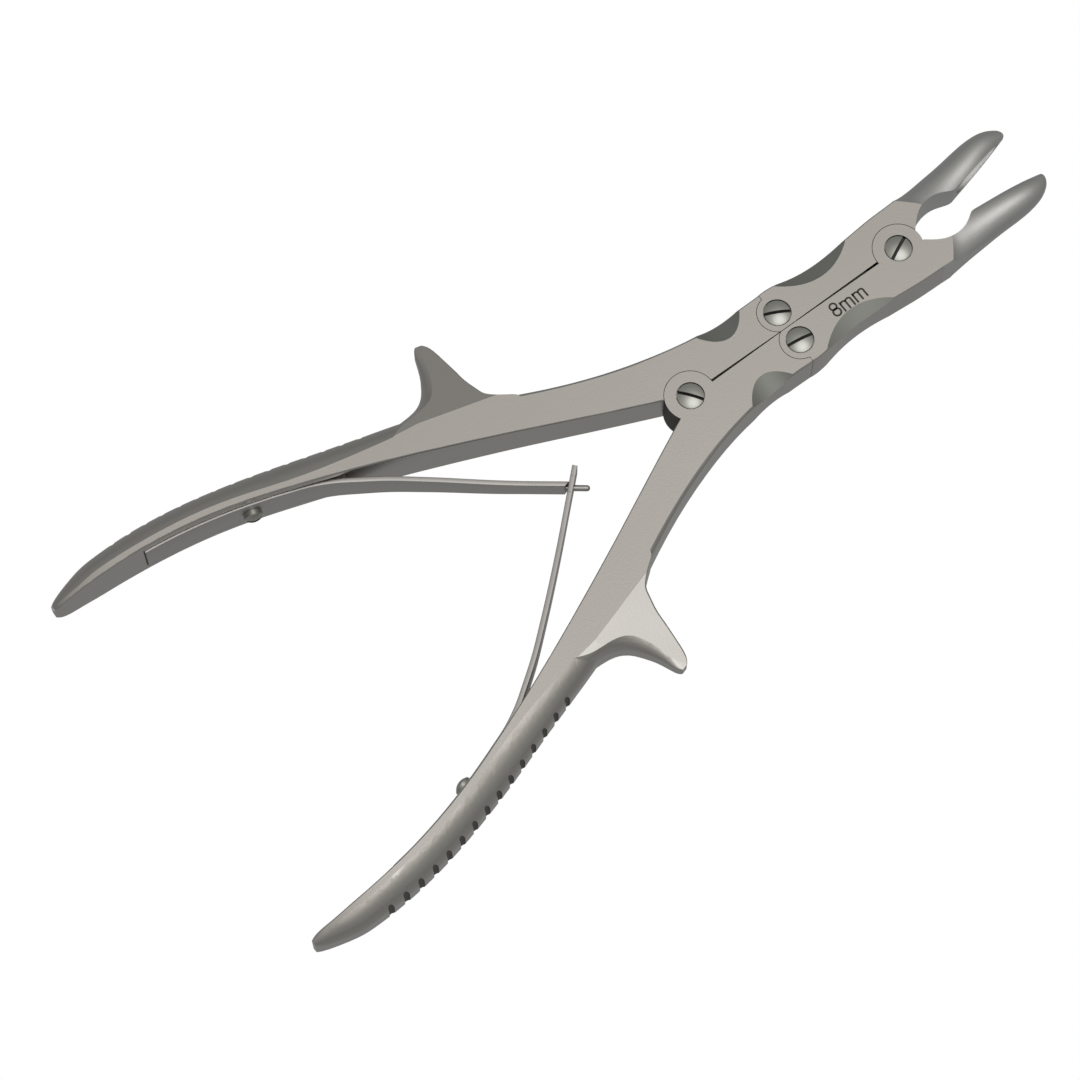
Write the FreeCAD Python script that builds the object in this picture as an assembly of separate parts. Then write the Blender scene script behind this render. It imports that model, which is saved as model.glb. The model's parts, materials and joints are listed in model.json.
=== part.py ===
# Bone rongeur with double action: two handles, two jaws, four pivot screws and a pair of leaf springs.
# Millimetres and degrees. The rear pivot stands on the origin, +X runs to the jaws, +Y to the upper
# handle and +Z up. Everything is drawn with the instrument open, as its springs leave it.
import FreeCAD, Part
import math
import os

from FreeCAD import Vector

os.makedirs("parts", exist_ok=True)

# The box joint
joint_thickness = 10.0      # between the flat faces of the levers
pivot_spacing = 59.4        # rear pivot to front pivot
link_ahead = 27.8           # link pivots, ahead of the rear pivot
link_offset = 4.1           # link pivots, to each side of the axis
main_disc_radius = 5.9      # lap discs of the rear and front pivots
link_disc_radius = 4.6      # lap discs of the link pivots
upper_lap = 4.2             # thickness of the lap that shows on top
lap_gap = 0.05              # running gap between two laps
disc_clearance = 0.14       # radial, a lap disc in its recess
slit_at_link = 0.08         # half the slit between the levers, beside the link pivots
slit_at_pivot = 0.36        # half the slit, beside the rear and front pivots
seam_back = 0.9             # outer seam of a link joint, behind its pivot
seam_gap = 0.12

# Pivot screws
head_radius = 3.05
head_rim = 1.4              # height of the head's side
head_dome = 0.55            # how far the crown stands over the rim
head_sink = 0.15            # rim below the lever's face
head_clearance = 0.2       # radial, in the counterbore
head_seat_gap = 0.05
shank_radius = 2.1
shank_clearance = 0.05
open_pivot_clearance = 0.1  # upper link pivot, where the closed linkage has its play
thread_radius = 1.75
thread_short = 0.2          # screw end above the lever's underside
slot_width = 0.75
slot_depth = 1.1
rear_slot_turn = -53.0
front_slot_turn = 25.0
upper_link_slot_turn = -28.0
lower_link_slot_turn = -9.0

# Handles
grip_thickness = 14.0
lever_half_width = 10.0     # axis to the outer side, at the link joint
grip_lean = 0.95            # both handles are turned this far round the rear pivot, behind it
swell_start = -6.0          # behind this a handle grows thicker
swell_length = 100.0        # until it has its full thickness, and then thinner again to its end
grip_end = -141.2
grip_end_thickness = 4.4
flat_side = 1.6             # half the least height over which a side stands upright
shoulder_turn = 70.0        # how far round a shoulder turns before it meets the flat of the top
shoulder_height = 1.35      # of a narrow shoulder, against its reach
edge_break = 0.3
groove_count = 15
groove_pitch = 4.28
groove_radius = 0.75
groove_depth = 0.75
first_groove = -64.3        # the groove nearest the spur

# Spur of a handle, drawn from its root towards its tip
spur_root = (-44.0, 29.5)
spur_turn = -16.0
spur_slope = 12.0           # of its top and underside

# Jaws
jaw_swing = 9.0             # how far each jaw turns to close
mouth_turn = 4.5            # the line on which the lips meet, against the axis
mouth_start = 9.3           # where that line crosses the axis, ahead of the front pivot
lip_gap = 0.06              # half the gap between the closed lips
lip_start = 20.6            # heel of the lips, ahead of the front pivot
lip_end = 39.2

# Grinds in the levers, beside the link joints
rear_grind_radius = 11.8
front_grind_radius = 33.0
grind_slope = 22.0
grind_depth = 1.75

# Springs
spring_thickness = 1.2
spring_root_width = 9.0
spring_tip_width = 5.4
spring_taper_start = -88.0
spring_seat_depth = 0.7
spring_seat_margin = 0.3
spring_seat_gap = 0.03
spring_end = -118.0
spring_crossing = -33.3     # where the tips cross, on the axis
spring_seat_front = -72.0
spring_pin_radius = 0.7
spring_pin_reach = 4.2      # beyond the crossing
spring_pin_foot = 0.75      # shoulder of the leaf, before the crossing
lower_spring_reach = 4.5
spring_slot_length = 3.8
spring_slot_width = 1.9
spring_screw_at = -93.0
spring_screw_head_radius = 2.2
spring_screw_head_height = 2.1
spring_screw_crown = 3.0    # radius of the head's rounding
spring_screw_radius = 1.5
spring_screw_depth = 4.2
spring_screw_head_gap = 0.05
spring_hole_clearance = 0.15

half_joint = joint_thickness / 2
half_grip = grip_thickness / 2
lap_plane = half_joint - upper_lap
seam_x = link_ahead - seam_back
rear_pivot = Vector(0, 0, 0)
front_pivot = Vector(pivot_spacing, 0, 0)
up = Vector(0, 0, 1)
BIG = 60.0

# A handle from above, on the side of the upper one and without its spur or its slit: x, the outer side,
# how far the shoulder reaches in from there, and the inner side
handle_stations = [(seam_x, lever_half_width, 0.35, -11.9), (18.0, 10.0, 0.4, -7.8),
                   (8.0, 10.95, 0.5, -3.3), (-3.0, 13.4, 0.65, 1.7), (-13.7, 16.85, 0.75, 6.6),
                   (-23.5, 20.9, 0.85, 11.2), (-33.0, 25.6, 1.1, 15.7), (-43.0, 30.7, 1.9, 20.3),
                   (-54.0, 35.2, 3.6, 25.2), (-66.0, 38.9, 4.8, 30.3), (-80.0, 43.3, 5.8, 35.7),
                   (-95.0, 47.6, 5.4, 40.8), (-109.0, 50.55, 5.1, 44.1), (-121.0, 51.75, 4.8, 45.7),
                   (-131.0, 51.5, 4.0, 46.3), (-136.3, 50.2, 2.9, 46.45), (-139.4, 49.1, 1.7, 46.6),
                   (-140.7, 48.3, 0.8, 47.0)]
first_inner_station = 3     # from here on the inner side is not cut away by the slit

# The spur's sections: distance from its root, front edge and rear edge to either side of its middle
# line, and how far its front and rear shoulders reach in
spur_sections = [(-3.0, 15.5, -19.0, 1.1, 3.0), (-0.8, 13.2, -18.0, 1.1, 3.0), (1.4, 8.7, -14.8, 1.0, 3.1),
                 (3.0, 7.4, -10.4, 0.9, 3.2), (4.6, 6.5, -7.2, 0.85, 3.0), (6.8, 5.4, -5.15, 0.8, 2.6),
                 (9.5, 4.45, -4.0, 0.7, 2.2), (13.0, 3.15, -3.05, 0.6, 1.7), (16.5, 1.75, -2.65, 0.5, 1.1),
                 (18.1, 0.65, -2.3, 0.35, 0.7), (18.8, -0.3, -1.8, 0.2, 0.3)]

# A jaw in the closed mouth: how far ahead of the front pivot, and how far out from the lips
jaw_throat = [(6.05, 0.55), (8.0, 1.8), (11.2, 3.1), (13.8, 3.15), (16.3, 2.45), (18.6, 0.95)]
jaw_back = [(39.6, 0.55), (39.6, 1.5), (38.9, 3.0), (36.8, 4.8), (33.2, 6.0), (27.0, 6.8), (22.0, 7.35),
            (17.0, 7.85), (12.0, 8.4)]

# The outer side of a jaw's lever, from the jaw to its link joint
jaw_lever_side = [(65.2, 9.85), (59.4, 9.7), (54.0, 9.3), (47.5, 8.8), (40.0, 8.7), (34.0, 9.35), (30.5, 9.95)]

# Rounding of a jaw: how far ahead of the front pivot, how far out its middle lies from the lips, half
# width and half height
jaw_rounds = [(6.0, 1.2, 11.0, 10.5), (8.9, 1.5, 9.3, 7.2), (11.3, 1.9, 8.0, 5.3), (14.0, 2.3, 6.6, 4.7),
              (17.0, 2.5, 5.8, 4.4), (22.0, 2.6, 4.85, 4.2), (27.0, 2.5, 4.4, 4.15), (31.9, 2.5, 3.75, 3.85),
              (35.0, 2.3, 3.15, 3.2), (37.4, 1.9, 2.4, 2.2), (38.8, 1.4, 1.75, 1.4), (39.8, 1.0, 1.1, 0.7)]

# A cup turned about the line on which the lips meet: distance ahead of the front pivot and radius
cup_profile = [(21.5, 0.0), (22.0, 1.4), (23.2, 2.5), (24.6, 2.9), (26.5, 2.95), (28.8, 2.73), (31.5, 2.2),
               (34.5, 1.4), (36.6, 0.65), (37.3, 0.0)]

# A spring's middle line from above, where it leaves the upper handle and runs to the crossing
spring_leaf = [(-79.0, 35.35), (-74.5, 33.0), (-70.0, 30.0), (-65.0, 26.5), (-58.0, 20.9), (-46.0, 10.75)]


def curve(points, start=None, end=None):
    """An edge that runs smoothly through the points."""
    line = Part.BSplineCurve()
    if start is None:
        line.interpolate(points)
    else:
        line.interpolate(Points=points, InitialTangent=start, FinalTangent=end)
    return line.toShape()


def straight(a, b):
    return Part.LineSegment(a, b).toShape()


def closed_around(lines):
    """A closed outline of smooth stretches, with straight ones between them."""
    edges = []
    for line, following in zip(lines, lines[1:] + lines[:1]):
        edges.append(curve(line))
        edges.append(straight(line[-1], following[0]))
    return Part.Wire(edges)


def oval(centre, half_width, half_height):
    """An upright oval across the X axis."""
    turns = [2 * math.pi * i / 16 for i in range(16)]
    line = Part.BSplineCurve()
    line.interpolate(Points=[centre + Vector(0, half_width * math.cos(t), half_height * math.sin(t)) for t in turns],
                     PeriodicFlag=True)
    return Part.Wire(line.toShape())


def prism(edges, bottom, top):
    """The area inside the edges, which lie at z = 0, between two heights."""
    area = Part.Face(Part.Wire(edges))
    area.translate(Vector(0, 0, bottom))
    return area.extrude(Vector(0, 0, top - bottom))


def disc(centre, radius, bottom, top):
    return Part.makeCylinder(radius, top - bottom, centre + Vector(0, 0, bottom), up)


def block(x0, x1, y0, y1, z0, z1):
    return Part.makeBox(x1 - x0, y1 - y0, z1 - z0, Vector(x0, y0, z0))


def turned(shape, angle, centre):
    """A copy of the shape, turned about an upright line."""
    copy = shape.copy()
    copy.rotate(centre, up, angle)
    return copy


def lower_side(shape):
    """The shape's mirror image on the side of the lower handle."""
    return shape.mirror(Vector(0, 0, 0), Vector(0, 1, 0))


def on_side(shape, side):
    return shape if side > 0 else lower_side(shape)


def underneath(shape):
    """The shape's mirror image in the middle plane."""
    return shape.mirror(Vector(0, 0, 0), up)


def section(inner, outer, half, inner_reach, outer_reach):
    """A bar's section: two upright sides with shoulders, and a flat that is left to be cut to its height."""
    width = outer - inner
    turn = math.radians(shoulder_turn)
    steps = 5
    rise = 0.25
    corners = []
    for edge, way, reach in ((inner, 1, inner_reach), (outer, -1, outer_reach)):
        height = min(half - flat_side, shoulder_height * reach)
        reach = min(reach, 0.75 * width if way < 0 else 0.15 * width)
        bend = []
        for i in range(steps):
            angle = turn * i / (steps - 1)
            inset = reach * (1 - math.cos(angle)) / (1 - math.cos(turn))
            bend.append(Vector(0, edge + way * inset, half + height * (math.sin(angle) / math.sin(turn) - 1)))
        slope = height / reach * math.cos(turn) * (1 - math.cos(turn)) / math.sin(turn) ** 2
        beyond = min(rise / slope, 0.04 * width)
        corners.append((bend, bend[-1] + Vector(0, way * beyond, slope * beyond)))
    edges = []
    for sign in (1, -1):
        for bend, top in corners[::sign]:
            line = [Vector(0, p.y, sign * p.z) for p in bend + [top]]
            if (bend is corners[1][0]) == (sign > 0):
                line.reverse()
            edges.append(line)
    return closed_around(edges)


def half_thickness(x):
    """Half the thickness of a handle at x: it swells behind the joint and rounds off at its end."""
    swell = min(1.0, max(0.0, (swell_start - x) / swell_length))
    full = half_joint + (half_grip - half_joint) * (3 - 2 * swell) * swell ** 2
    behind = max(0.0, (x - swell_start + swell_length) / (grip_end - swell_start + swell_length))
    rounding = math.sqrt(1 - min(1.0, behind) ** 2.5)
    return grip_end_thickness / 2 + (full - grip_end_thickness / 2) * rounding


def leaned(x, y, side):
    """A point of a handle on one side, seen as the upper one, in the lean of the handles."""
    point = Vector(x, y, 0)
    return FreeCAD.Rotation(up, side * grip_lean).multVec(point) if x < 0 else point


def leaned_station(row, side):
    """A station of a handle, with its section left upright across the axis."""
    x, outer, reach, inner = row
    middle = leaned(x, (outer + inner) / 2, side)
    shift = middle.y - (outer + inner) / 2
    return middle.x, outer + shift, reach, inner + shift


def handle_bar(side):
    """A handle's body from its sections, before its faces, slit and spur are made."""
    sections = []
    for row in handle_stations:
        x, outer, reach, inner = leaned_station(row, side)
        profile = section(inner, outer, half_thickness(x), edge_break, reach)
        profile.translate(Vector(x, 0, 0))
        sections.append(profile)
    return Part.makeLoft(sections, True, False)


def spur_frame(shape, side):
    """A shape drawn round the spur's root, with the spur along +X, moved to its place."""
    placed = shape.copy()
    placed.rotate(Vector(0, 0, 0), up, 90 + spur_turn)
    placed.translate(Vector(spur_root[0], spur_root[1], 0))
    return turned(placed, side * grip_lean, rear_pivot)


def spur(side):
    """The spur in front of a grip, from its sections."""
    root_half = half_thickness(spur_root[0])
    sections = []
    for out, front, rear, front_reach, rear_reach in spur_sections:
        half = root_half - math.tan(math.radians(spur_slope)) * out
        profile = section(-front, -rear, half, front_reach, rear_reach)
        profile.translate(Vector(out, 0, 0))
        sections.append(profile)
    return spur_frame(Part.makeLoft(sections, True, False), side)


def above_handle():
    """Everything above a handle's top face."""
    xs = [swell_start - swell_length * i / 8 for i in range(9)]
    xs += [xs[-1] + (grip_end - xs[-1]) * math.sin(math.pi / 2 * i / 6) for i in range(1, 7)]
    line = [Vector(x, -BIG, half_thickness(x)) for x in xs]
    front = Vector(BIG, -BIG, half_joint)
    rear = line[-1] + Vector(-BIG, 0, 0)
    edges = [straight(front, line[0]),
             curve(line, Vector(-1, 0, 0), Vector(0, 0, -1)),
             straight(line[-1], rear),
             straight(rear, rear + Vector(0, 0, BIG)),
             straight(rear + Vector(0, 0, BIG), front + Vector(0, 0, BIG)),
             straight(front + Vector(0, 0, BIG), front)]
    return Part.Face(Part.Wire(edges)).extrude(Vector(0, 2.5 * BIG, 0))


def above_spur(side):
    """Everything above the facet that slopes down to the spur's tip."""
    swell = half_thickness(spur_root[0] - 1) - half_thickness(spur_root[0])
    waste = block(0, 30, -18, 26, 0, 20)
    waste.rotate(Vector(0, 0, 0), Vector(0, 1, 0), spur_slope)
    waste.rotate(Vector(0, 0, 0), Vector(1, 0, 0), math.degrees(math.atan(swell)))
    waste.translate(Vector(0, 0, half_thickness(spur_root[0])))
    return spur_frame(waste, side)


def beyond_slit():
    """Everything on the far side of the slit between the levers."""
    line = [Vector(seam_x + 1, -BIG, 0), Vector(seam_x + 1, slit_at_link, 0), Vector(seam_x, slit_at_link, 0),
            Vector(0, slit_at_pivot, 0), Vector(-15, slit_at_pivot, 0), Vector(-15, -BIG, 0)]
    return prism([straight(a, b) for a, b in zip(line, line[1:] + line[:1])], -BIG, BIG)


def grind(x, outer_y, radius):
    """A hollow ground across the upper outer edge of a lever: a cylinder that dips outwards."""
    axis = Vector(0, math.cos(math.radians(grind_slope)), -math.sin(math.radians(grind_slope)))
    lowest = Vector(x, outer_y, half_joint - grind_depth)
    lift = Vector(0, math.sin(math.radians(grind_slope)), math.cos(math.radians(grind_slope))) * radius
    return Part.makeCylinder(radius, 2 * BIG, lowest + lift - axis * BIG, axis)


def both_faces(cutter):
    """A cutter for the top face, with its twin for the underside."""
    return [cutter, underneath(cutter)]


def with_lap(shape, centre, radius, on_top, keep=None):
    """The shape with a lap disc at a pivot, and a recess for the disc of its partner."""
    if on_top:
        own = disc(centre, radius, lap_plane, half_joint)
        partner = disc(centre, radius + disc_clearance, -BIG, lap_plane)
    else:
        own = disc(centre, radius, -half_joint, lap_plane - lap_gap)
        partner = disc(centre, radius + disc_clearance, lap_plane - lap_gap, BIG)
    if keep is not None:
        own = own.common(keep)
    return shape.cut(partner).fuse(own)


def with_screw_hole(shape, centre, on_top, clearance):
    """A bored and counterbored lap, or the threaded one under it."""
    if not on_top:
        return shape.cut(disc(centre, thread_radius, -BIG, BIG))
    seat = half_joint - head_sink - head_rim - head_seat_gap
    bored = shape.cut(disc(centre, shank_radius + clearance, -BIG, BIG))
    return bored.cut(disc(centre, head_radius + head_clearance, seat, BIG))


def link_pivot(side):
    return Vector(link_ahead, side * link_offset, 0)


def own_side(side):
    """The half of space on one side of the slit."""
    return on_side(block(-BIG, 2 * BIG, slit_at_link, BIG, -BIG, BIG), side)


def handle_side(side, column):
    """The outer or the inner side of a handle from above, seen as the upper one."""
    stations = [leaned_station(row, side) for row in handle_stations[first_inner_station:]]
    return curve([Vector(row[0], row[column], 0) for row in stations])


def at_x(line, x):
    """The point of a line at x, and its direction there."""
    point = line.section(straight(Vector(x, -BIG, 0), Vector(x, 2 * BIG, 0))).Vertexes[0].Point
    return point, line.tangentAt(line.Curve.parameter(point))


def inner_frame(x, side):
    """The point of a handle's inner side at x, and the way out of it, towards the other handle."""
    point, along = at_x(handle_side(side, 3), x)
    return point, Vector(-along.y, along.x, 0)


def ribbon(middle, thickness, start=None, end=None):
    """The closed outline of a strip of even thickness about a line of points."""
    line = curve(middle, start, end)
    sides = []
    for offset in (thickness / 2, -thickness / 2):
        points = []
        for p in middle:
            along = line.tangentAt(line.Curve.parameter(p))
            points.append(p + Vector(-along.y, along.x, 0) * offset)
        sides.append(points)
    left, right = sides
    return [curve(left, start, end), straight(left[-1], right[-1]), curve(right, start, end),
            straight(right[0], left[0])]


def seat_points(front, rear, depth, side):
    """Points along the inner side of a handle, a depth into it."""
    points = []
    steps = 7
    for i in range(steps):
        point, outward = inner_frame(front + (rear - front) * i / (steps - 1), side)
        points.append(point - outward * depth)
    return points


def spring_seat(side):
    """The shallow bed of a leaf spring in a handle's inner side."""
    rear = spring_end - spring_seat_margin
    floor = seat_points(spring_seat_front, rear, spring_seat_depth, side)
    opened = seat_points(spring_seat_front, rear, -2.0, side)
    opened.reverse()
    edges = [curve(floor), straight(floor[-1], opened[0]), curve(opened), straight(opened[-1], floor[0])]
    half = spring_root_width / 2 + spring_seat_margin
    return prism(edges, -half, half)


def spring_screw_frame(side):
    """Where a spring's screw goes in: a point on the bed, and the way out of the handle."""
    point, outward = inner_frame(spring_screw_at, side)
    return point - outward * spring_seat_depth, outward


def grip_grooves(side):
    """Grooves across the outer side of a grip, evenly spaced along it."""
    line = handle_side(side, 1)
    cutters = []
    x = first_groove
    for i in range(groove_count):
        point, along = at_x(line, x)
        outward = Vector(along.y, -along.x, 0)
        centre = point + outward * (groove_radius - groove_depth)
        cutters.append(disc(centre, groove_radius, -half_grip, half_grip))
        x += along.x * groove_pitch
    return cutters


def make_handle(side):
    """A handle: grip, spur and lever, lapped at the rear pivot and at its link pivot."""
    body = handle_bar(side).fuse(spur(side))
    cutters = both_faces(above_handle()) + both_faces(above_spur(side)) + [beyond_slit()]
    cutters += both_faces(grind(15.6, lever_half_width, rear_grind_radius))
    cutters += grip_grooves(side) + [spring_seat(side)]
    bed, outward = spring_screw_frame(side)
    cutters.append(Part.makeCylinder(spring_screw_radius, spring_screw_depth, bed, outward * -1))
    body = on_side(body.cut(cutters), side)
    body = with_lap(body, rear_pivot, main_disc_radius, on_top=side < 0)
    body = with_screw_hole(body, rear_pivot, side < 0, shank_clearance)
    body = with_lap(body, link_pivot(side), link_disc_radius, False, own_side(side))
    return with_screw_hole(body, link_pivot(side), False, shank_clearance)


def mouth_point(ahead, out, side):
    """A point of the closed mouth, opened with its jaw."""
    turn = math.radians(mouth_turn)
    along = Vector(math.cos(turn), math.sin(turn), 0)
    across = Vector(-math.sin(turn), math.cos(turn), 0)
    closed = front_pivot + Vector(mouth_start, 0, 0) + along * (ahead - mouth_start) + across * (side * out)
    swing = FreeCAD.Rotation(up, side * jaw_swing)
    return front_pivot + swing.multVec(closed - front_pivot)


def mouth_placed(shape, side):
    """A shape drawn on the X axis from the front pivot, as the closed mouth lies, moved to an open jaw."""
    placed = shape.copy()
    placed.translate(Vector(-mouth_start, 0, 0))
    placed.rotate(Vector(0, 0, 0), up, mouth_turn)
    placed.translate(front_pivot + Vector(mouth_start, 0, 0))
    return turned(placed, side * jaw_swing, front_pivot)


def jaw_outline(side):
    """The closed outline of a jaw: slit, throat, lips, back and the side of its lever."""
    lever = [Vector(x, side * y, 0) for x, y in jaw_lever_side]
    corner = Vector(seam_x + seam_gap, side * lever_half_width, 0)
    slit_front = Vector(pivot_spacing, side * slit_at_pivot, 0)
    slit_rear = Vector(seam_x + seam_gap, side * slit_at_link, 0)
    throat = [mouth_point(a, o, side) for a, o in jaw_throat]
    heel = mouth_point(lip_start, lip_gap, side)
    toe = mouth_point(lip_end, lip_gap, side)
    back = [mouth_point(a, o, side) for a, o in jaw_back]
    return [straight(slit_front, throat[0]),
            curve(throat + [heel], throat[1] - throat[0], toe - heel),
            straight(heel, toe),
            curve([toe] + back + lever + [corner]),
            straight(corner, slit_rear),
            straight(slit_rear, slit_front)]


def jaw_blank(side):
    """A jaw's full body, with the upper and lower edges of its outer side broken."""
    body = prism(jaw_outline(side), -half_joint, half_joint)
    longest = sorted(body.Edges, key=lambda edge: edge.Length)[-2:]
    return body.makeChamfer(edge_break, longest)


def jaw_waste(side):
    """What is ground away around a jaw, so that its back is round."""
    rounds = []
    for ahead, out, half_width, half_height in jaw_rounds:
        rounds.append(oval(Vector(ahead, side * out, 0), half_width, half_height))
    body = Part.makeLoft(rounds, True, False)
    waste = block(jaw_rounds[0][0] + 0.8, 50, -25, 25, -15, 15).cut(body)
    return mouth_placed(waste, side)


def cup():
    """The hollow of a jaw's cup, turned about the line where the lips meet."""
    points = [Vector(ahead, radius, 0) for ahead, radius in cup_profile]
    edge = curve(points)
    axis = straight(points[-1], points[0])
    return Part.Face(Part.Wire([edge, axis])).revolve(Vector(0, 0, 0), Vector(1, 0, 0), 360)


def make_jaw(side):
    """A jaw: lever, throat and cup, lapped at its link pivot and at the front pivot."""
    body = jaw_blank(side)
    cutters = [jaw_waste(side), mouth_placed(cup(), side)]
    cutters += [on_side(c, side) for c in both_faces(grind(41.6, 9.4, front_grind_radius))]
    for cutter in cutters:
        body = body.cut(cutter)
    at_link = link_pivot(side)
    body = with_lap(body, at_link, link_disc_radius, True, own_side(side))
    link_clearance = open_pivot_clearance if side > 0 else shank_clearance
    body = with_screw_hole(body, at_link, True, link_clearance)
    body = with_lap(body, front_pivot, main_disc_radius, on_top=side < 0)
    return with_screw_hole(body, front_pivot, side < 0, shank_clearance)


def make_pivot_screw(centre, slot_turn):
    """A slotted screw with a crowned head, a smooth shank in the upper lap and a thread in the lower."""
    rim_top = half_joint - head_sink
    rim_bottom = rim_top - head_rim
    shoulder = lap_plane - lap_gap
    tip = -half_joint + thread_short
    crown = Part.Arc(Vector(head_radius, 0, rim_top), Vector(head_radius * 0.71, 0, rim_top + head_dome * 0.5),
                     Vector(0, 0, rim_top + head_dome)).toShape()
    profile = [(0, tip), (thread_radius, tip), (thread_radius, shoulder), (shank_radius, shoulder),
               (shank_radius, rim_bottom), (head_radius, rim_bottom), (head_radius, rim_top)]
    corners = [Vector(r, 0, z) for r, z in profile]
    edges = [straight(a, b) for a, b in zip(corners, corners[1:])]
    edges += [crown, straight(Vector(0, 0, rim_top + head_dome), corners[0])]
    screw = Part.Face(Part.Wire(edges)).revolve(Vector(0, 0, 0), up, 360)
    slot = block(-BIG, BIG, -slot_width / 2, slot_width / 2, rim_top + head_dome - slot_depth, BIG)
    slot.rotate(Vector(0, 0, 0), up, slot_turn)
    screw = screw.cut(slot)
    screw.translate(centre)
    return screw


def leaf_points(reach, side):
    """The middle line of a spring, seen as the upper one, from its bed to a reach past the crossing."""
    bed_depth = spring_seat_depth - spring_seat_gap - spring_thickness / 2
    bedded = seat_points(spring_end, -84.0, bed_depth, side)
    free = [leaned(x, y, side) for x, y in spring_leaf]
    crossing = Vector(spring_crossing, 0, 0)
    along = (crossing - free[-1]).normalize()
    return bedded + free + [crossing + along * reach], along


def leaf(reach, side):
    """A leaf spring as a strip that narrows towards its tip."""
    points, along = leaf_points(reach, side)
    half_root = spring_root_width / 2
    half_tip = spring_tip_width / 2
    strip = prism(ribbon(points, spring_thickness), -half_root, half_root)
    waste_side = [(spring_taper_start, half_root), (spring_crossing - 8.0, half_tip), (0.0, half_tip),
                  (0.0, BIG), (spring_taper_start, BIG)]
    corners = [Vector(x, -BIG, z) for x, z in waste_side]
    edges = [straight(a, b) for a, b in zip(corners, corners[1:] + corners[:1])]
    for waste in both_faces(Part.Face(Part.Wire(edges)).extrude(Vector(0, 2 * BIG, 0))):
        strip = strip.cut(waste)
    bed, outward = spring_screw_frame(side)
    hole = Part.makeCylinder(spring_screw_radius + spring_hole_clearance, 8, bed - outward * 3, outward)
    return strip.cut(hole), along


def make_upper_spring():
    """The leaf that ends in a round pin."""
    spring, along = leaf(-spring_pin_foot, 1)
    rooted = 0.2
    length = rooted + spring_pin_foot + spring_pin_reach - spring_pin_radius
    foot = Vector(spring_crossing, 0, 0) - along * (spring_pin_foot + rooted)
    pin = Part.makeCylinder(spring_pin_radius, length, foot, along)
    end = Part.makeSphere(spring_pin_radius, foot + along * length)
    return spring.fuse(pin).fuse(end)


def make_lower_spring():
    """The leaf with a slot for the other one's pin."""
    spring, along = leaf(lower_spring_reach, -1)
    slot = block(-spring_slot_length / 2, spring_slot_length / 2, -3, 3, -spring_slot_width / 2,
                 spring_slot_width / 2)
    slot.rotate(Vector(0, 0, 0), up, math.degrees(math.atan2(along.y, along.x)))
    slot.translate(Vector(spring_crossing, 0, 0))
    return lower_side(spring.cut(slot))


def make_spring_screw(side):
    """The short screw that holds a spring in its bed."""
    bed, outward = spring_screw_frame(side)
    underside = spring_seat_gap + spring_thickness + spring_screw_head_gap
    start = bed - outward * spring_screw_depth
    shank = Part.makeCylinder(spring_screw_radius, spring_screw_depth + underside, start, outward)
    base = bed + outward * underside
    head = Part.makeCylinder(spring_screw_head_radius, spring_screw_head_height, base, outward)
    crown_centre = base + outward * (spring_screw_head_height - spring_screw_crown)
    crown = Part.makeSphere(spring_screw_crown, crown_centre)
    slot = block(-5, 5, -0.35, 0.35, 0, 5)
    slot.rotate(Vector(0, 0, 0), Vector(1, 0, 0), 90)
    slot.rotate(Vector(0, 0, 0), up, math.degrees(math.atan2(outward.y, outward.x)) + 90)
    slot.translate(base + outward * (spring_screw_head_height - 0.8))
    screw = head.common(crown).cut(slot).fuse(shank)
    return on_side(screw, side)


def pieces():
    """Every piece under its name, drawn round the rear pivot."""
    yield "upper_handle", make_handle(1)
    yield "lower_handle", make_handle(-1)
    yield "upper_jaw", make_jaw(1)
    yield "lower_jaw", make_jaw(-1)
    yield "rear_pivot_screw", make_pivot_screw(rear_pivot, rear_slot_turn)
    yield "front_pivot_screw", make_pivot_screw(front_pivot, front_slot_turn)
    yield "upper_link_screw", make_pivot_screw(link_pivot(1), upper_link_slot_turn)
    yield "lower_link_screw", make_pivot_screw(link_pivot(-1), lower_link_slot_turn)
    yield "upper_spring", make_upper_spring()
    yield "lower_spring", make_lower_spring()
    yield "upper_spring_screw", make_spring_screw(1)
    yield "lower_spring_screw", make_spring_screw(-1)


made = dict(pieces())

# The origin lies halfway along and across the instrument, at the height of its lowest point
whole = Part.makeCompound(list(made.values())).optimalBoundingBox(False)
to_origin = Vector(-(whole.XMin + whole.XMax) / 2, -(whole.YMin + whole.YMax) / 2, -whole.ZMin)
for node, shape in made.items():
    shape.translate(to_origin)
    shape.exportStep("parts/" + node + ".step")
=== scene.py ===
"""Bone rongeur with double action, lying open on white. The frame is in metres. Sizes and places written
here are in millimetres, the places from the rear pivot."""

import json
import math

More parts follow.
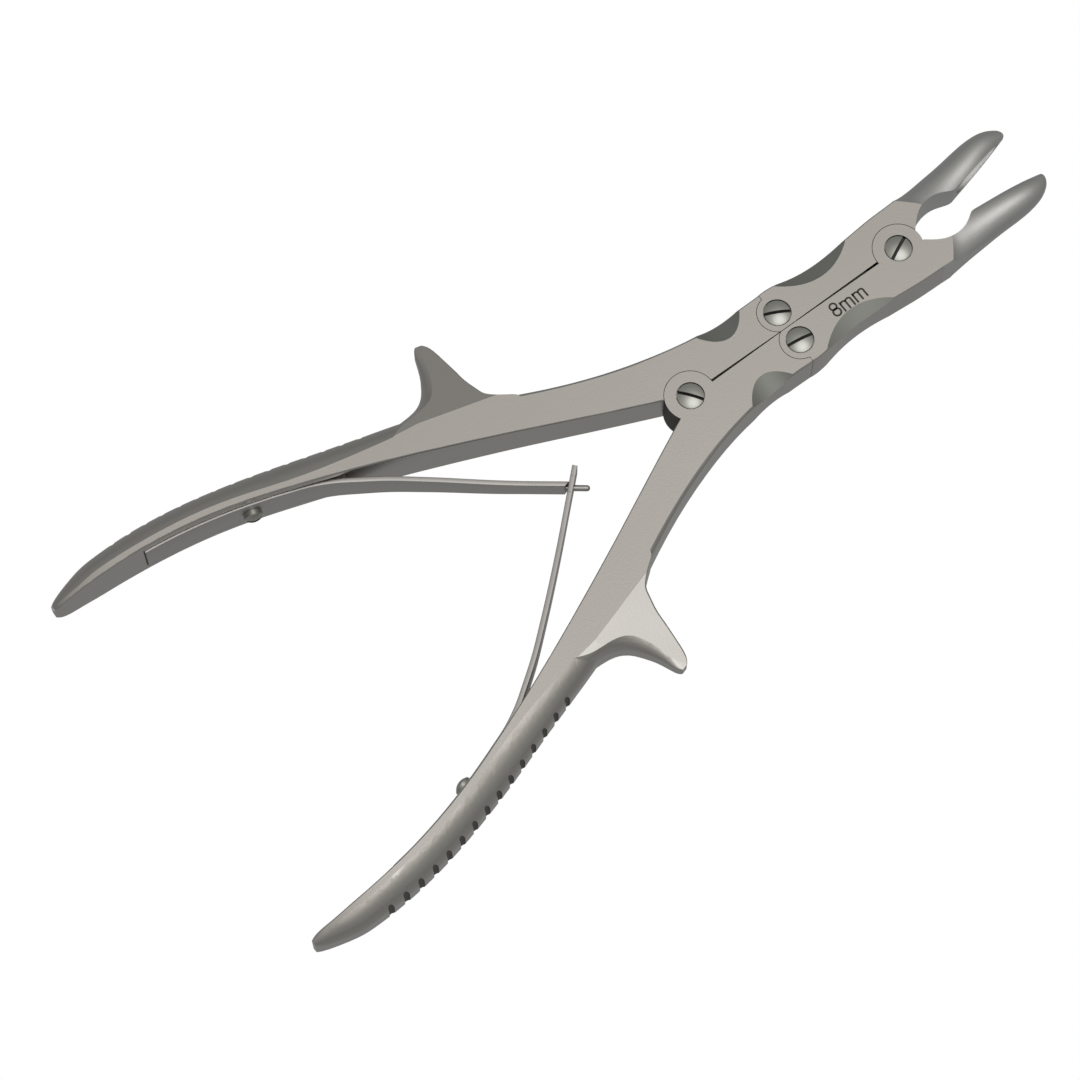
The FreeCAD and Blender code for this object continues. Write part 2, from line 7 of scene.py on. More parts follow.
import bmesh
import bpy
import numpy as np
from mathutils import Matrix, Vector


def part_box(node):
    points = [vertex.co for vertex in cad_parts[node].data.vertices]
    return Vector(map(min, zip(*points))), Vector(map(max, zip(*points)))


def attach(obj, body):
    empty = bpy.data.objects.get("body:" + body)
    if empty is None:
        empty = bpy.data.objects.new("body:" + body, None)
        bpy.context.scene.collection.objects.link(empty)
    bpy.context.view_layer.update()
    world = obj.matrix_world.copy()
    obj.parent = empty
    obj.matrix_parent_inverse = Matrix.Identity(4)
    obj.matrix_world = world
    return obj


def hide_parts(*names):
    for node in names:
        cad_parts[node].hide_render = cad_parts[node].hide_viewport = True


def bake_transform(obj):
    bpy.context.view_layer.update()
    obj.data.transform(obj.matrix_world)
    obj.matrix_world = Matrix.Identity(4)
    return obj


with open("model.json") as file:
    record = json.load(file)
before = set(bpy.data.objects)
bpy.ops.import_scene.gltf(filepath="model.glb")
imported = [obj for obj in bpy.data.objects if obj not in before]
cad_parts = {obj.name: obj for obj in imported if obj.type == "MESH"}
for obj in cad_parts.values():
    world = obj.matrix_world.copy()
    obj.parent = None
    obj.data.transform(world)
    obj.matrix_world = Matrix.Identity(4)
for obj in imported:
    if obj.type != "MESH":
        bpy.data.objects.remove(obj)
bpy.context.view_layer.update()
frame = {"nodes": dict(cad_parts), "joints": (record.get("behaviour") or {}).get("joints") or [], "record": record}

bl_info = {
    "name": "Bone Rongeur",
    "version": (1, 0, 0),
    "blender": (4, 5, 0),
    "location": "View3D > Sidebar > Rongeur",
    "description": "Builds a double-action bone rongeur round its construction model",
    "category": "Add Mesh",
}

MM = 0.001
BODY_OF = {node: body for body, nodes in frame["record"]["behaviour"]["bodies"].items() for node in nodes}
JOINT = {joint["name"]: joint for joint in frame["joints"]}
REAR_PIVOT = np.array(JOINT["handles"]["pos_m"])
PIVOT_SPACING = (JOINT["jaws"]["pos_m"][0] - REAR_PIVOT[0]) / MM
LINK_X, LINK_Y = (np.array(JOINT["lower_jaw_link"]["pos_m"]) - REAR_PIVOT)[:2] / MM
TOP_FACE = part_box("lower_jaw")[1].z
FLAT_HEIGHT = (TOP_FACE - REAR_PIVOT[2]) / MM

LEVERS = ("upper_handle", "lower_handle", "upper_jaw", "lower_jaw")
PIVOT_SCREWS = ("rear_pivot_screw", "front_pivot_screw", "upper_link_screw", "lower_link_screw")
SPRING_SCREWS = ("upper_spring_screw", "lower_spring_screw")


def placed(points_mm):
    """Points in millimetres from the rear pivot, moved to the frame in metres."""
    return np.asarray(points_mm, float) * MM + REAR_PIVOT


# Shapes

CIRCLE_STEPS = 24
SHARP_ANGLE = math.radians(35)


def way_along(line):
    """Length of the way from a line's start to each of its points."""
    return np.concatenate([[0], np.cumsum(np.linalg.norm(np.diff(line, axis=0), axis=1))])


def spline(points, count):
    """A smooth line through 2-D points: cubic Hermite pieces whose tangents are the central differences
    over the chord length, sampled at even steps of that length."""
    points = np.asarray(points, float)
    way = way_along(points)
    tangents = np.gradient(points, way, axis=0)
    places = np.linspace(0, way[-1], count)
    i = np.clip(np.searchsorted(way, places, side="right") - 1, 0, len(points) - 2)
    length = (way[i + 1] - way[i])[:, None]
    u = (places - way[i])[:, None] / length
    return ((2 * u**3 - 3 * u**2 + 1) * points[i] + (u**3 - 2 * u**2 + u) * length * tangents[i]
            + (-2 * u**3 + 3 * u**2) * points[i + 1] + (u**3 - u**2) * length * tangents[i + 1])


def rounded_rectangle(width, height, radius, steps=3):
    """Outline of a rectangle with quarter-circle corners, anticlockwise: a corner's points are its centre
    plus radius * (cos a, sin a) over a quarter turn. width and height may be arrays, one value per
    section."""
    width, height = np.broadcast_arrays(np.atleast_1d(width), np.atleast_1d(height))
    turn = np.linspace(0, math.pi / 2, steps + 1)
    angle = (turn[None, :] + np.arange(4)[:, None] * math.pi / 2).ravel()
    corner = np.repeat(np.array([(1, 1), (-1, 1), (-1, -1), (1, -1)], float), steps + 1, axis=0)
    half = np.stack([width, height], axis=1)[:, None, :] / 2 - radius
    return half * corner[None] + radius * np.stack([np.cos(angle), np.sin(angle)], axis=1)[None]


def circle(radius):
    """Outline of a circle, radius * (cos a, sin a); radius may be an array, one value per section."""
    angle = np.linspace(0, 2 * math.pi, CIRCLE_STEPS, endpoint=False)
    return np.atleast_1d(radius)[:, None, None] * np.stack([np.cos(angle), np.sin(angle)], axis=1)[None]


def swept(path, outlines):
    """A level path with an outline at each point: point = path + across * u + up * v, where across is the
    path's direction turned a quarter to the left and up is +Z. Each end is closed by one face."""
    path = np.asarray(path, float)
    along = np.gradient(path, axis=0)
    along /= np.linalg.norm(along, axis=1)[:, None]
    across = np.stack([-along[:, 1], along[:, 0], np.zeros(len(path))], axis=1)
    outlines = np.broadcast_to(outlines, (len(path),) + outlines.shape[1:])
    grid = (path[:, None, :] + across[:, None, :] * outlines[:, :, :1]
            + np.array([0, 0, 1.0])[None, None, :] * outlines[:, :, 1:])
    rows, columns = grid.shape[:2]
    index = np.arange(rows * columns).reshape(rows, columns)
    following = np.roll(index, -1, axis=1)
    quads = np.stack([index[:-1], following[:-1], following[1:], index[1:]], axis=-1).reshape(-1, 4)
    return grid.reshape(-1, 3), [*map(tuple, quads[:, ::-1].tolist()), tuple(index[0].tolist()),
                                 tuple(index[-1, ::-1].tolist())]


def joined(parts):
    """Several (points, faces) as one, each part's face numbers moved on by the points before it."""
    points, faces, start = [], [], 0
    for part_points, part_faces in parts:
        points.append(part_points)
        faces += [tuple(i + start for i in face) for face in part_faces]
        start += len(part_points)
    return np.concatenate(points), faces


def new_piece(name, points_mm, faces, material, material_slot):
    """A mesh object from points in millimetres, its normals turned outwards and its edges sharp past an
    angle."""
    mesh = bpy.data.meshes.new(name)
    mesh.from_pydata(placed(points_mm), [], faces)
    shape = bmesh.new()
    shape.from_mesh(mesh)
    bmesh.ops.recalc_face_normals(shape, faces=shape.faces)
    shape.to_mesh(mesh)
    shape.free()
    piece = bpy.data.objects.new(name, mesh)
    bpy.context.scene.collection.objects.link(piece)
    mesh.materials.append(material)
    mesh.shade_smooth()
    mesh.set_sharp_from_angle(angle=SHARP_ANGLE)
    return piece


def finished(node, material):
    """A CAD node in its own shape, with a better material in its slots."""
    slots = frame["nodes"][node].material_slots
    if not slots:
        raise RuntimeError(node + " has no material slot")
    for slot in slots:
        slot.material = material


def marked_copy(node, material, side):
    """A copy of a lever's CAD node with its own normals, shown in its place. Each of its masks, found
    from the faces' centres and normals, becomes a value on the face's corners."""
    mesh = frame["nodes"][node].data.copy()
    mesh.name = node + "_finish"
    count = len(mesh.polygons)
    centres, normals = np.empty(count * 3), np.empty(count * 3)
    corners = np.empty(count, np.int32)
    mesh.polygons.foreach_get("center", centres)
    mesh.polygons.foreach_get("normal", normals)
    mesh.polygons.foreach_get("loop_total", corners)
    centres = (centres.reshape(-1, 3) - REAR_PIVOT) / MM
    for name, mask in lever_masks(centres, normals.reshape(-1, 3), side).items():
        layer = mesh.attributes.new(name, "FLOAT", "CORNER")
        layer.data.foreach_set("value", np.repeat(mask.astype(np.float32), corners))
    mesh.materials.clear()
    mesh.materials.append(material)
    piece = bpy.data.objects.new(node + "_finish", mesh)
    bpy.context.scene.collection.objects.link(piece)
    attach(piece, BODY_OF[node])
    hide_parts(node)
    return piece


# How far each grip is turned round the rear pivot
LEAN = math.radians(0.95)


def leaned(line, side):
    """2-D points of a grip or its leaf, seen as the upper one, turned with it: x' = x cos a - y sin a and
    y' = x sin a + y cos a, where a is the lean with the side's sign."""
    cosine, sine = math.cos(LEAN), side * math.sin(LEAN)
    return np.asarray(line, float) @ np.array([[cosine, sine], [-sine, cosine]])


# The levers' finishes, and the painted shade in their grooves and seams

# How far below the flat a face's centre lies at least, to count as below it
FLAT_MARGIN = 0.005

# How far an upright face's unit normal rises or falls at most
UPRIGHT = 0.04

# Middle and reach of each hollow grind along X, the height its floor stays above and the rise of its
# faces' normals
GRINDS = ((15.6, 8.5), (41.6, 13.5))
GRIND_FLOOR = 3.0
GRIND_RISE = (0.75, 0.992)

# The upper grip's outer side, before the lean, and the grooves across it: the first one's place along X,
# their spacing along the side, their radius and how far past it their faces' centres may lie
GROOVE_SIDE = [(-54.0, 35.2), (-66.0, 38.9), (-80.0, 43.3), (-95.0, 47.6), (-109.0, 50.55), (-121.0, 51.75),
               (-131.0, 51.5)]
SIDE_STEPS = 400
FIRST_GROOVE = -64.3
GROOVE_COUNT = 15
GROOVE_PITCH = 4.28
GROOVE_RADIUS = 0.75
GROOVE_MARGIN = 0.3

# The seams where one lever lies against another, seen from above: the middle and radius of each lap disc's
# rim, how far behind its pivot each link lap ends, and how far from there a seam's faces may lie
PIVOT_DISC = 5.97
LINK_DISC = 4.67
LAP_DISCS = (((0, 0), PIVOT_DISC), ((PIVOT_SPACING, 0), PIVOT_DISC), ((LINK_X, LINK_Y), LINK_DISC),
             ((LINK_X, -LINK_Y), LINK_DISC))
DISC_MARGIN = 0.2
LAP_END_BACK = 0.9
LAP_END_MARGIN = 0.25

# The closed mouth's turn against the axis, each jaw's swing from there, and where a jaw's rounding
# starts, ahead of the front pivot
MOUTH_TURN = math.radians(4.5)
JAW_SWING = math.radians(9.0)
ROUNDING_START = 6.76


def below_flat(centres):
    """Mask of the faces that lie below the flats, on either side of the levers."""
    return np.abs(centres[:, 2]) < FLAT_HEIGHT - FLAT_MARGIN


def upright(normals):
    """Mask of the upright faces."""
    return np.abs(normals[:, 2]) < UPRIGHT


def ground_faces(centres, normals):
    """Mask of the hollow grinds: faces between their floor and the flat, near a grind's middle along X,
    that look mostly up or down."""
    near = np.zeros(len(centres), bool)
    for middle, reach in GRINDS:
        near |= np.abs(centres[:, 0] - middle) < reach
    rise = np.abs(normals[:, 2])
    sloping = (rise > GRIND_RISE[0]) & (rise < GRIND_RISE[1])
    return near & sloping & below_flat(centres) & (np.abs(centres[:, 2]) > GRIND_FLOOR)


def groove_faces(centres, normals, side):
    """Mask of the grooves: upright faces at about a groove's radius from its middle. The middles follow
    the grip's side at even steps of its length."""
    line = leaned(spline(GROOVE_SIDE, SIDE_STEPS), side)
    way = way_along(line)
    start = np.interp(-FIRST_GROOVE, -line[:, 0], way)
    places = start + GROOVE_PITCH * np.arange(GROOVE_COUNT)
    middles = np.stack([np.interp(places, way, line[:, i]) for i in range(2)], axis=1)
    as_upper = np.stack([centres[:, 0], side * centres[:, 1]], axis=1)
    distance = np.linalg.norm(as_upper[:, None] - middles[None], axis=2)
    return (distance < GROOVE_RADIUS + GROOVE_MARGIN).any(axis=1) & upright(normals)


def seam_faces(centres, normals):
    """Mask of the seams: upright faces whose distance from a pivot is its lap disc's radius, or that end
    a link lap farther from the axis than twice its pivot's distance."""
    seam = np.abs(centres[:, 0] - (LINK_X - LAP_END_BACK)) < LAP_END_MARGIN
    seam &= np.abs(centres[:, 1]) > 2 * abs(LINK_Y)
    for middle, radius in LAP_DISCS:
        seam |= np.abs(np.linalg.norm(centres[:, :2] - middle, axis=1) - radius) < DISC_MARGIN
    return seam & upright(normals)


def blasted_faces(centres, side):
    """Mask of the rounded jaws: faces below the flats, past the rounding's start. The way ahead of the
    front pivot, along the open jaw, is x cos a + y sin a, where a is the mouth's turn plus the swing with
    the side's sign."""
    turn = MOUTH_TURN + side * JAW_SWING
    ahead = (centres[:, 0] - PIVOT_SPACING) * math.cos(turn) + centres[:, 1] * math.sin(turn)
    return (ahead > ROUNDING_START) & below_flat(centres)


def lever_masks(centres, normals, side):
    """The masks of a lever's finishes and of the shade painted into its grooves and seams, by the names that the
    material reads.
    """
    return {"ground": ground_faces(centres, normals), "groove": groove_faces(centres, normals, side),
            "seam": seam_faces(centres, normals), "blasted": blasted_faces(centres, side)}


# Materials

# Satin finish: scale and detail of its uneven patches and how far they move the roughness, and scale,
# detail and depth of its fine grain
PATCH_SCALE = 90
PATCH_DETAIL = 4
PATCH_SPREAD = 0.04
GRAIN_SCALE = 2600
GRAIN_DETAIL = 3
GRAIN_DEPTH = 0.04 * MM

# Strength of the grain on each kind of piece, and how much rougher than the levers the leaves are
LEVER_GRAIN = 0.25
SCREW_GRAIN = 0.15
LEAF_GRAIN = 0.2
LEAF_ROUGHER = 0.12

# Painted shade in the grooves, in the seams and round the screws' heads: a dark colour that stands in for the
# shade in these hollows and gaps.
# Its colour and the metallic share left in it, its roughness in the first two, and how far below the flat a screw
# is wholly dark with it
GROOVE_PAINTED_SHADE = ((0.12, 0.114, 0.104), 0.3)
SEAM_PAINTED_SHADE = ((0.055, 0.052, 0.048), 0.2)
SCREW_PAINTED_SHADE = ((0.03, 0.028, 0.026), 0.2)
PAINTED_SHADE_ROUGHNESS = 0.6
SCREW_PAINTED_SHADE_DEPTH = 0.45 * MM

MARK_COLOUR = (0.045, 0.038, 0.034)
MARK_ROUGHNESS = 0.55


def new_material(name):
    """An empty node material with one principled shader, with its nodes, its links and that shader."""
    material = bpy.data.materials.new(name)
    material.use_nodes = True
    nodes = material.node_tree.nodes
    nodes.clear()
    shader = nodes.new("ShaderNodeBsdfPrincipled")
    output = nodes.new("ShaderNodeOutputMaterial")
    material.node_tree.links.new(shader.outputs["BSDF"], output.inputs["Surface"])
    return material, nodes, material.node_tree.links, shader


def shader_of(material):
    """The principled shader of a material."""
    return next(node for node in material.node_tree.nodes if node.type == "BSDF_PRINCIPLED")


def steel(name, colour, roughness, grain):
    """Stainless steel with an uneven satin finish and a fine grain, both from noise on Object
    coordinates."""
    material, nodes, links, shader = new_material(name)
    shader.inputs["Base Color"].default_value = (*colour, 1)
    shader.inputs["Metallic"].default_value = 1.0
    place = nodes.new("ShaderNodeTexCoord")
    patches = nodes.new("ShaderNodeTexNoise")
    patches.inputs["Scale"].default_value = PATCH_SCALE
    patches.inputs["Detail"].default_value = PATCH_DETAIL
    links.new(place.outputs["Object"], patches.inputs["Vector"])
    spread = nodes.new("ShaderNodeMapRange")
    spread.inputs["To Min"].default_value = roughness - PATCH_SPREAD
    spread.inputs["To Max"].default_value = roughness + PATCH_SPREAD
    links.new(patches.outputs["Fac"], spread.inputs["Value"])
    links.new(spread.outputs["Result"], shader.inputs["Roughness"])
    fine = nodes.new("ShaderNodeTexNoise")
    fine.inputs["Scale"].default_value = GRAIN_SCALE
    fine.inputs["Detail"].default_value = GRAIN_DETAIL
    links.new(place.outputs["Object"], fine.inputs["Vector"])
    bump = nodes.new("ShaderNodeBump")
    bump.inputs["Strength"].default_value = grain
    bump.inputs["Distance"].default_value = GRAIN_DEPTH
    links.new(fine.outputs["Fac"], bump.inputs["Height"])
    links.new(bump.outputs["Normal"], shader.inputs["Normal"])
    return material


def varied(material, mark, colour, roughness, metallic):
    """The material, with another colour, roughness and metallic share where the mark on the mesh is 1."""
    nodes, links = material.node_tree.nodes, material.node_tree.links
    shader = shader_of(material)
    masked = nodes.new("ShaderNodeAttribute")
    masked.attribute_name = mark
    for name, value in (("Base Color", (*colour, 1)), ("Roughness", roughness), ("Metallic", metallic)):
        entry = shader.inputs[name]
        mix = nodes.new("ShaderNodeMix")
        mix.data_type = "RGBA" if name == "Base Color" else "FLOAT"
        wired = [socket for socket in mix.inputs if socket.enabled and socket.name in "AB"]
        if entry.links:
            links.new(entry.links[0].from_socket, wired[0])
        else:
            wired[0].default_value = entry.default_value
        wired[1].default_value = value
        links.new(masked.outputs["Fac"], mix.inputs["Factor"])
        links.new(next(socket for socket in mix.outputs if socket.enabled), entry)
    return material


def painted_shade_below(material, unshaded_height, depth, colour, metallic):
    """The material, with shade painted in below a height: at the given height it is unchanged, and a depth
    lower it has the painted shade's colour and metallic share, with a smooth step between them."""
    nodes, links = material.node_tree.nodes, material.node_tree.links
    shader = shader_of(material)
    place = nodes.new("ShaderNodeTexCoord")
    parts = nodes.new("ShaderNodeSeparateXYZ")
    links.new(place.outputs["Object"], parts.inputs["Vector"])
    unshaded_share = nodes.new("ShaderNodeMapRange")
    unshaded_share.interpolation_type = "SMOOTHSTEP"
    unshaded_share.inputs["From Min"].default_value = unshaded_height - depth
    unshaded_share.inputs["From Max"].default_value = unshaded_height
    links.new(parts.outputs["Z"], unshaded_share.inputs["Value"])
    mix = nodes.new("ShaderNodeMix")
    mix.data_type = "RGBA"
    mix.inputs["A"].default_value = (*colour, 1)
    mix.inputs["B"].default_value = shader.inputs["Base Color"].default_value
    links.new(unshaded_share.outputs["Result"], mix.inputs["Factor"])
    links.new(mix.outputs["Result"], shader.inputs["Base Color"])
    metal = nodes.new("ShaderNodeMapRange")
    metal.inputs["To Min"].default_value = metallic
    links.new(unshaded_share.outputs["Result"], metal.inputs["Value"])
    links.new(metal.outputs["Result"], shader.inputs["Metallic"])
    return material


def dark_mark():
    """The dark oxide of a laser-marked number."""
    material, nodes, links, shader = new_material("dark_mark")
    shader.inputs["Base Color"].default_value = (*MARK_COLOUR, 1)
    shader.inputs["Roughness"].default_value = MARK_ROUGHNESS
    return material


class RongeurFinish(bpy.types.PropertyGroup):
    """Colours and finish of the steel."""
    steel_colour: bpy.props.FloatVectorProperty(
        name="Steel", description="Reflected colour of the levers",
        subtype="COLOR", size=3, min=0, max=1, default=(0.52, 0.503, 0.477))
    screw_colour: bpy.props.FloatVectorProperty(
        name="Screws", description="Reflected colour of the screws",
        subtype="COLOR", size=3, min=0, max=1, default=(0.48, 0.483, 0.455))
    spring_colour: bpy.props.FloatVectorProperty(
        name="Springs", description="Reflected colour of the springs",
        subtype="COLOR", size=3, min=0, max=1, default=(0.51, 0.50, 0.482))
    roughness: bpy.props.FloatProperty(
        name="Satin", description="Roughness of the satin steel",
        subtype="FACTOR", min=0.05, max=1, default=0.25)
    ground_colour: bpy.props.FloatVectorProperty(
        name="Ground steel", description="Reflected colour of the hollow grinds",
        subtype="COLOR", size=3, min=0, max=1, default=(0.335, 0.345, 0.32))
    ground_roughness: bpy.props.FloatProperty(
        name="Grinding", description="Roughness of the hollow grinds",
        subtype="FACTOR", min=0.05, max=1, default=0.5)
    jaw_colour: bpy.props.FloatVectorProperty(
        name="Jaws", description="Reflected colour of the rounded jaws",
        subtype="COLOR", size=3, min=0, max=1, default=(0.60, 0.60, 0.59))
    jaw_roughness: bpy.props.FloatProperty(
        name="Blasting", description="Roughness of the rounded jaws",
        subtype="FACTOR", min=0.05, max=1, default=0.38)


class RongeurSprings(bpy.types.PropertyGroup):
    """Sizes of the two leaf springs."""
    thickness: bpy.props.FloatProperty(
        name="Thickness", description="Thickness of a leaf", unit="LENGTH", default=1.2 * MM)
    root_width: bpy.props.FloatProperty(
        name="Root width", description="Width of a leaf under its screw", unit="LENGTH", default=9.0 * MM)
    tip_width: bpy.props.FloatProperty(
        name="Tip width", description="Width of a leaf at its tip", unit="LENGTH", default=5.4 * MM)


class RongeurStage(bpy.types.PropertyGroup):
    """Where the camera stands, in the photograph's pose, and how bright the light is."""
    elevation: bpy.props.FloatProperty(
        name="Elevation", description="Camera above the horizon",
        subtype="ANGLE", default=math.radians(70.38))
    azimuth: bpy.props.FloatProperty(
        name="Azimuth", description="Camera round the instrument",
        subtype="ANGLE", default=math.radians(-37.08))
    distance: bpy.props.FloatProperty(
        name="Distance", description="Camera to the point it looks at", unit="LENGTH", default=0.8472)
    lens: bpy.props.FloatProperty(
        name="Lens", description="Focal length on a 36 mm sensor", default=127.2)
    target: bpy.props.FloatVectorProperty(
        name="Target", description="Point looked at, from the rear pivot", unit="LENGTH", size=3,
        default=(-45.3 * MM, -4.39 * MM, -4.2 * MM))
    brightness: bpy.props.FloatProperty(
        name="Brightness", description="Strength of the light tent", min=0, default=1.7)


class RONGEUR_OT_levers(bpy.types.Operator):
    """Handles and jaws in satin steel"""
    bl_idname = "rongeur.levers"
    bl_label = "Handles and jaws"

    def execute(self, context):
        finish = context.scene.rongeur_finish
        satin = steel("satin_steel", tuple(finish.steel_colour), finish.roughness, LEVER_GRAIN)
        varied(satin, "ground", tuple(finish.ground_colour), finish.ground_roughness, metallic=1.0)
        # Painted shade: the grooves and seams are darkened for the shade that falls in them
        for mark, (colour, metallic) in (("groove", GROOVE_PAINTED_SHADE), ("seam", SEAM_PAINTED_SHADE)):
            varied(satin, mark, colour, PAINTED_SHADE_ROUGHNESS, metallic)
        varied(satin, "blasted", tuple(finish.jaw_colour), finish.jaw_roughness, metallic=1.0)
        for node in LEVERS:
            marked_copy(node, satin, 1 if node.startswith("upper") else -1)
        return {"FINISHED"}


class RONGEUR_OT_screws(bpy.types.Operator):
    """Four pivot screws and two spring screws"""
    bl_idname = "rongeur.screws"
    bl_label = "Screws"

    def execute(self, context):
        finish = context.scene.rongeur_finish
        colour = tuple(finish.screw_colour)
        pivot_steel = steel("pivot_screw_steel", colour, finish.roughness, SCREW_GRAIN)
        # Painted shade: each pivot screw darkens below the flat, in its slot and in the gap round its head, for
        # the shade there
        painted_shade_below(pivot_steel, TOP_FACE, SCREW_PAINTED_SHADE_DEPTH, *SCREW_PAINTED_SHADE)
        for node in PIVOT_SCREWS:
            finished(node, pivot_steel)
        spring_screw_steel = steel("spring_screw_steel", colour, finish.roughness, SCREW_GRAIN)
        for node in SPRING_SCREWS:
            finished(node, spring_screw_steel)
        return {"FINISHED"}


# Leaf springs

# Middle line of a leaf, seen as the upper one and before the lean: along its bed, and on from there to
# the point where the leaves cross
LEAF_BED = [(-117.2, 45.38), (-112.3, 44.73), (-106.7, 43.74), (-101.0, 42.48), (-95.3, 40.96),
            (-89.6, 39.18), (-84.0, 37.24)]
LEAF_FREE = [(-79.0, 35.35), (-74.5, 33.0), (-70.0, 30.0), (-65.0, 26.5), (-58.0, 20.9), (-46.0, 10.75),
             (-33.3, 0.0)]
LEAF_STEPS = 161

# Where a leaf's width starts to fall and has fallen, along X, the radius of its edges, and where it
# starts to bend and has bent
LEAF_TAPER = (-88.0, -41.3)
LEAF_EDGE = 0.16

# The upper leaf ends a shoulder's length before the crossing, cut on a slant, so that it clears the lower
# leaf when the handles are closed. Its pin starts inside it and reaches past the crossing.
SHOULDER = 1.0
SHOULDER_SLANT = 0.75
PIN_ROOT = 0.5
PIN_RADIUS = 0.7
PIN_REACH = 4.2
PIN_STEPS = 8
PIN_END_TURN = math.radians(84)
PIN_END_STEPS = 7

# The lower leaf's slot, the overlap of the bars beside it with what is whole, and the leaf's reach past
# the crossing
SLOT_LENGTH = 3.8
SLOT_WIDTH = 1.9
BAR_OVERLAP = 0.05
BAR_STEPS = 6
LOWER_REACH = 4.5


def leaf_sections(path, settings):
    """Outlines of a leaf: of one thickness all along, with a width that falls evenly between the taper's
    ends."""
    share = np.clip((path[:, 0] - LEAF_TAPER[0]) / (LEAF_TAPER[1] - LEAF_TAPER[0]), 0, 1)
    width = (settings.root_width + (settings.tip_width - settings.root_width) * share) / MM
    return rounded_rectangle(np.full(len(path), settings.thickness / MM), width, LEAF_EDGE)


def leaf_path(reach, side):
    """The leaf's middle line, turned with its grip and ending a reach past the crossing, with the
    crossing and the direction there."""
    line = leaned(LEAF_BED + LEAF_FREE, side)
    line[-1] = LEAF_FREE[-1]
    crossing = line[-1].copy()
    along = crossing - line[-2]
    along /= np.linalg.norm(along)
    line[-1] += along * reach
    flat = spline(line, LEAF_STEPS)
    return np.column_stack([flat, np.zeros(len(flat))]), crossing, along


def upper_leaf(settings):
    """The leaf with its pin, a round bar whose end is a quarter circle turned about its line and cut off
    short of its pole. The leaf's last outline is sheared: each point moves along the leaf by the slant
    times its place across the thickness."""
    path, crossing, along = leaf_path(-SHOULDER, 1)
    sections = leaf_sections(path, settings)
    points, faces = swept(path, sections)
    points[-len(sections[-1]):, :2] += SHOULDER_SLANT * sections[-1][:, :1] * along
    straight = np.linspace(-SHOULDER - PIN_ROOT, PIN_REACH - PIN_RADIUS, PIN_STEPS)
    turn = np.linspace(0, PIN_END_TURN, PIN_END_STEPS)[1:]
    distance = np.concatenate([straight, straight[-1] + PIN_RADIUS * np.sin(turn)])
    radius = np.concatenate([np.full(len(straight), PIN_RADIUS), PIN_RADIUS * np.cos(turn)])
    pin = crossing + along * distance[:, None]
    return joined([(points, faces), swept(np.column_stack([pin, np.zeros(len(pin))]), circle(radius))])


def straight_bar(crossing, along, start, end, height, outline):
    """A bar with one outline, crossing + along * t with t from start to end, at a height."""
    line = crossing + along * np.linspace(start, end, BAR_STEPS)[:, None]
    return swept(np.column_stack([line, np.full(len(line), height)]), outline)


def lower_leaf(settings):
    """The leaf with a slot: whole before and past the slot, and two narrow bars beside it."""
    path, crossing, along = leaf_path(-SLOT_LENGTH / 2, -1)
    thickness, width = settings.thickness / MM, settings.tip_width / MM
    bar_width = (width - SLOT_WIDTH) / 2
    bar_end = SLOT_LENGTH / 2 + BAR_OVERLAP
    bar_outline = rounded_rectangle(thickness, bar_width, LEAF_EDGE)
    tip_outline = rounded_rectangle(thickness, width, LEAF_EDGE)
    parts = [swept(path, leaf_sections(path, settings))]
    for bar_side in (-1, 1):
        height = bar_side * (SLOT_WIDTH + bar_width) / 2
        parts.append(straight_bar(crossing, along, -bar_end, bar_end, height, bar_outline))
    parts.append(straight_bar(crossing, along, SLOT_LENGTH / 2, LOWER_REACH, 0.0, tip_outline))
    return joined(parts)


class RONGEUR_OT_springs(bpy.types.Operator):
    """Two leaf springs"""
    bl_idname = "rongeur.springs"
    bl_label = "Springs"

    def execute(self, context):
        settings = context.scene.rongeur_springs
        finish = context.scene.rongeur_finish
        roughness = finish.roughness + LEAF_ROUGHER
        drawn = steel("spring_steel", tuple(finish.spring_colour), roughness, LEAF_GRAIN)
        for name, side, leaf in (("upper", 1, upper_leaf), ("lower", -1, lower_leaf)):
            points, faces = leaf(settings)
            piece = new_piece(name + "_spring_leaf", points * (1, side, 1), faces, drawn, "spring_steel")
            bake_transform(piece)
            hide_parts(name + "_spring")
        return {"FINISHED"}


# Size number on the lower jaw

# Its lower left corner and its height, the strokes' width and depth, and as shares of that depth how far
# a stroke's middle lies under the flat and the radius of its edges
MARK_CORNER = (37.6, -5.0)
MARK_HEIGHT = 3.7
MARK_STROKE = 0.46
MARK_DEPTH = 0.03
MARK_SUNK = 0.4
MARK_EDGE = 0.3

# The digit: its middle, and its rings' half widths and their half heights as shares of its height
DIGIT_MIDDLE = 1.05
LOWER_RING = (0.92, 0.27)
UPPER_RING = (0.82, 0.25)
RING_STEPS = 33

# The letters: their first stems' places, their height as a share of the digit's, and a hoop's width
LETTER_STEMS = (2.75, 6.35)
LETTER_SHARE = 0.72
HOOP_WIDTH = 1.35
HOOP_STEPS = 13


def arc(centre, radii, start, end, steps):
    """Points at centre + (radius * cos a, radius * sin a) between two angles in degrees."""
    angle = np.radians(np.linspace(start, end, steps))
    return np.stack([centre[0] + radii[0] * np.cos(angle), centre[1] + radii[1] * np.sin(angle)], axis=1)


